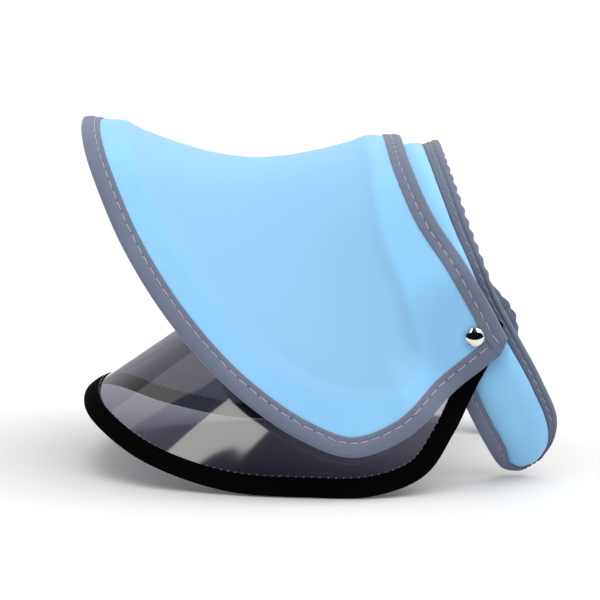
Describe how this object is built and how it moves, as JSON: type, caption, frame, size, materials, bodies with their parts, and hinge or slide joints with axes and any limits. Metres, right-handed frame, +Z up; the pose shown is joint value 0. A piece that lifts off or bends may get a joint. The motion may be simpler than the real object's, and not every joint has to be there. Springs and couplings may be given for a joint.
{
  "type": "sun visor",
  "caption": "Clip-on sun visor: padded spring head band, wide fabric brim and a smoked drop-down lens, hinged at both temples.",
  "frame": {"origin": "on the surface that the visor stands on, below the middle of its box", "axes": "+Z up as it stands, -Y the wearer's front, +X the wearer's left"},
  "size_m": [0.2276, 0.2402, 0.1795],
  "materials": {
    "blue_knit": "fine matte knit",
    "grey_tape": "folded knit binding with cream stitches",
    "black_tape": "woven twill tape",
    "dark_lining": "matte knit lining",
    "smoked_film": "clear glossy smoke tint",
    "board": "sheet plastic",
    "sponge": "open foam",
    "spring_plastic": "smooth strip",
    "nickel": "polished nickel",
    "nylon": "moulded nylon"
  },
  "bodies": {
    "band": {"band_cover": "blue_knit", "foam_crest_pad": "sponge", "foam_end_pad_left": "sponge", "foam_end_pad_right": "sponge", "band_spring": "spring_plastic", "band_lining": "dark_lining", "band_rear_binding": "grey_tape", "band_front_binding": "grey_tape", "rear_gather_left": "grey_tape", "rear_gather_right": "grey_tape", "rivet_left": "nickel", "rivet_right": "nickel", "rivet_back_left": "nickel", "rivet_back_right": "nickel", "inner_spacer_left": "nylon", "inner_spacer_right": "nylon", "outer_spacer_left": "nylon", "outer_spacer_right": "nylon"},
    "brim": {"brim_cover": "blue_knit", "brim_stiffener": "board", "brim_lining": "dark_lining", "brim_head_binding": "grey_tape", "brim_rim_binding": "grey_tape"},
    "lens": {"lens_film": "smoked_film", "lens_head_binding": "black_tape", "lens_rim_binding": "black_tape"}
  },
  "joints": [
    {"name": "brim_tilt", "type": "hinge", "parent": "band", "child": "brim", "pos_m": [0, 0.0768, 0.0756], "axis": [-1, 0, 0], "range_deg": [0, 35]},
    {"name": "lens_tilt", "type": "hinge", "parent": "band", "child": "lens", "pos_m": [0, 0.0768, 0.0756], "axis": [-1, 0, 0], "range_deg": [-20, 18]}
  ]
}
